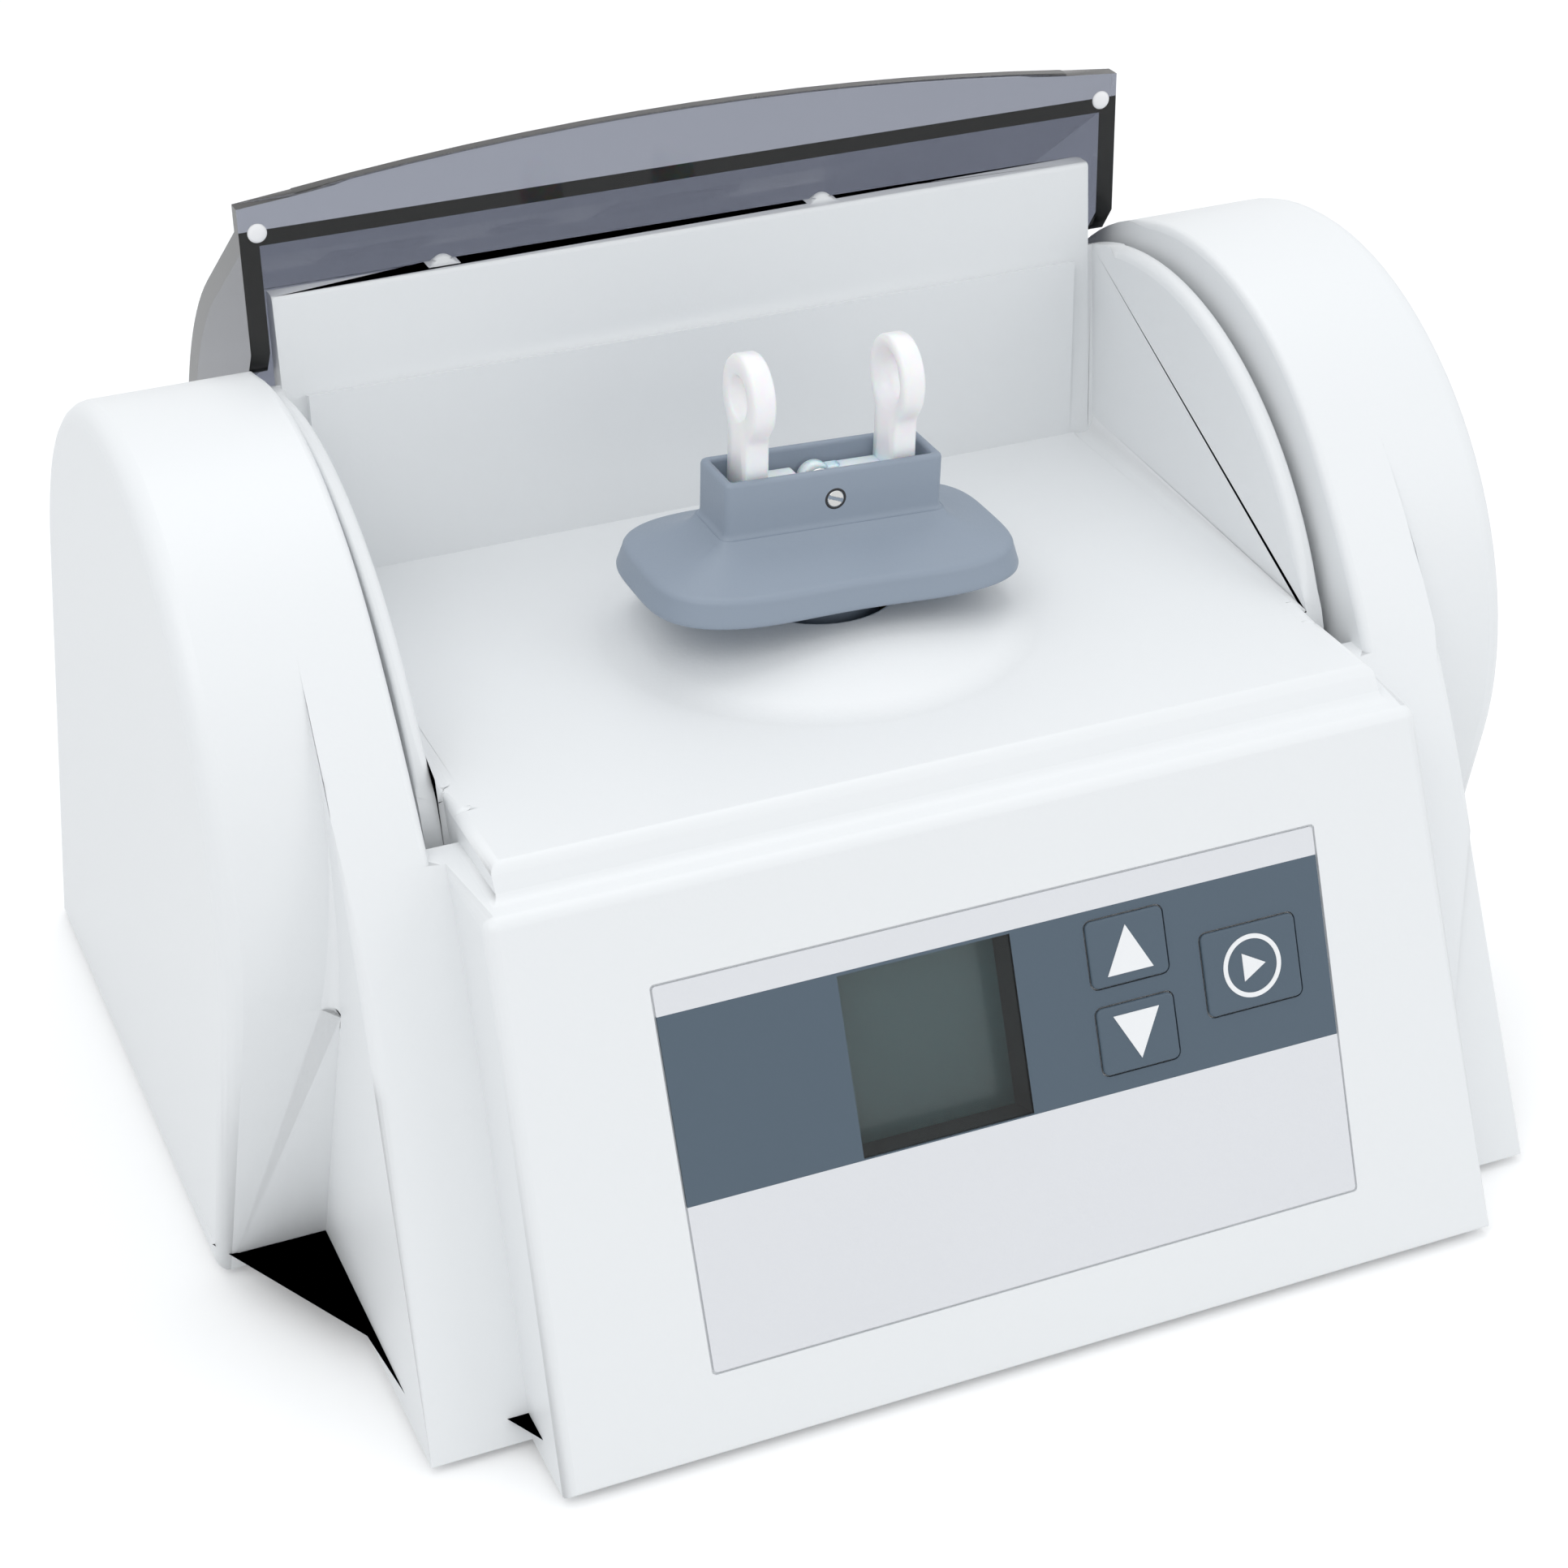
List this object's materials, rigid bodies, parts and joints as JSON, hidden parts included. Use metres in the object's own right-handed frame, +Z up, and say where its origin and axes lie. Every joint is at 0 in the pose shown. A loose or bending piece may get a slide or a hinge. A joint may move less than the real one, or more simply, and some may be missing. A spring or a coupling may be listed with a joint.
{
  "type": "dental amalgamator",
  "caption": "Benchtop capsule mixer with a white housing, round side towers, a smoked swing-over lid and a shaken capsule holder, lid open.",
  "frame": {"origin": "middle of the footprint, on the plane of the four feet", "axes": "+X to the right seen from the control panel, +Y to the rear, +Z up"},
  "size_m": [0.241, 0.2144, 0.1699],
  "materials": {
    "white_housing": "fine grain",
    "base_plastic": "matte",
    "rubber": "matte",
    "zinc_steel": "zinc plated",
    "smoked_acrylic": "smoked, see-through",
    "white_rubber": "satin",
    "nylon": "satin",
    "circuit_board": "satin",
    "panel_foil": "printed film",
    "display_glass": "clear",
    "display": "satin",
    "black_plastic": "matte",
    "key_plastic": "satin",
    "white_print": "print",
    "grey_plastic": "fine grain",
    "milky_plastic": "translucent",
    "bright_steel": "polished",
    "brass": "turned",
    "core_steel": "laminated",
    "copper": "enamelled wire",
    "transformer_tape": "wound tape"
  },
  "bodies": {
    "case": {"housing": "white_housing", "base_plate": "base_plastic", "feet": "rubber", "base_screws": "zinc_steel", "lid_pins": "zinc_steel", "lid_washers": "nylon", "reed_switch": "circuit_board", "panel_foil": "panel_foil", "lcd_window": "display_glass", "lcd_frame": "black_plastic", "lcd_module": "display", "control_board": "circuit_board", "board_screws": "zinc_steel", "tact_switches": "black_plastic", "motor_can": "zinc_steel", "motor_windings": "copper", "motor_bearings": "bright_steel", "motor_bracket": "zinc_steel", "motor_buffers": "rubber", "bracket_screws": "zinc_steel", "restraint_springs": "bright_steel", "transformer": "transformer_tape", "transformer_bolt": "zinc_steel", "power_board": "circuit_board", "power_parts": "black_plastic", "mains_inlet": "black_plastic", "inlet_blades": "bright_steel", "fuse_holder": "black_plastic", "rocker_frame": "black_plastic"},
    "lid": {"lid": "smoked_acrylic", "lid_bumpers": "white_rubber", "lid_magnets": "zinc_steel"},
    "rotor": {"rotor_shaft": "bright_steel", "counterweight": "brass", "rotor_core": "core_steel", "hub_clip": "black_plastic"},
    "capsule_holder": {"holder": "grey_plastic", "hub_bearings": "bright_steel", "fork_pin": "bright_steel", "fork_spring": "bright_steel"},
    "left_fork": {"left_fork": "milky_plastic"},
    "right_fork": {"right_fork": "milky_plastic"},
    "up_key": {"up_key": "key_plastic", "up_arrow": "white_print"},
    "down_key": {"down_key": "key_plastic", "down_arrow": "white_print"},
    "start_key": {"start_key": "key_plastic", "start_mark": "white_print"},
    "fuse_cap": {"fuse_cap": "black_plastic"},
    "rocker": {"rocker": "black_plastic"}
  },
  "joints": [
    {"name": "lid_swing", "type": "hinge", "parent": "case", "child": "lid", "pos_m": [0, 0.0188, 0.0685], "axis": [1, 0, 0], "range_deg": [0, 90]},
    {"name": "rotor_spin", "type": "hinge", "parent": "case", "child": "rotor", "pos_m": [0, -0.0122, 0.1055], "axis": [0, 0, 1], "continuous": true},
    {"name": "holder_wobble", "type": "hinge", "parent": "rotor", "child": "capsule_holder", "pos_m": [0, -0.0122, 0.1055], "axis": [0.0436, 0, 0.999], "continuous": true},
    {"name": "right_fork_open", "type": "hinge", "parent": "capsule_holder", "child": "right_fork", "pos_m": [0.00062, -0.0122, 0.11969], "axis": [0, 1, 0], "range_deg": [0, 8], "stiffness_Nm_per_rad": 0.3, "springref_deg": -17.19},
    {"name": "left_fork_open", "type": "hinge", "parent": "capsule_holder", "child": "left_fork", "pos_m": [0.00062, -0.0122, 0.11969], "axis": [0, -1, 0], "range_deg": [0, 8], "stiffness_Nm_per_rad": 0.3, "springref_deg": -17.19},
    {"name": "up_key_press", "type": "slide", "parent": "case", "child": "up_key", "axis": [0, 0.9379, -0.3469], "range_m": [0, 0.0005], "stiffness_N_per_m": 500, "springref_m": -0.0008},
    {"name": "down_key_press", "type": "slide", "parent": "case", "child": "down_key", "axis": [0, 0.9379, -0.3469], "range_m": [0, 0.0005], "stiffness_N_per_m": 500, "springref_m": -0.0008},
    {"name": "start_key_press", "type": "slide", "parent": "case", "child": "start_key", "axis": [0, 0.9379, -0.3469], "range_m": [0, 0.0005], "stiffness_N_per_m": 500, "springref_m": -0.0008},
    {"name": "fuse_cap_pull", "type": "slide", "parent": "case", "child": "fuse_cap", "axis": [0, 0.9608, 0.2773], "range_m": [0, 0.024]},
    {"name": "rocker_tilt", "type": "hinge", "parent": "case", "child": "rocker", "pos_m": [-0.02, 0.09135, 0.01889], "axis": [0, -0.2773, 0.9608], "range_deg": [0, 16]}
  ],
  "couplings": [
    {"joint": "holder_wobble", "follows": "rotor_spin", "ratio": -1}
  ]
}
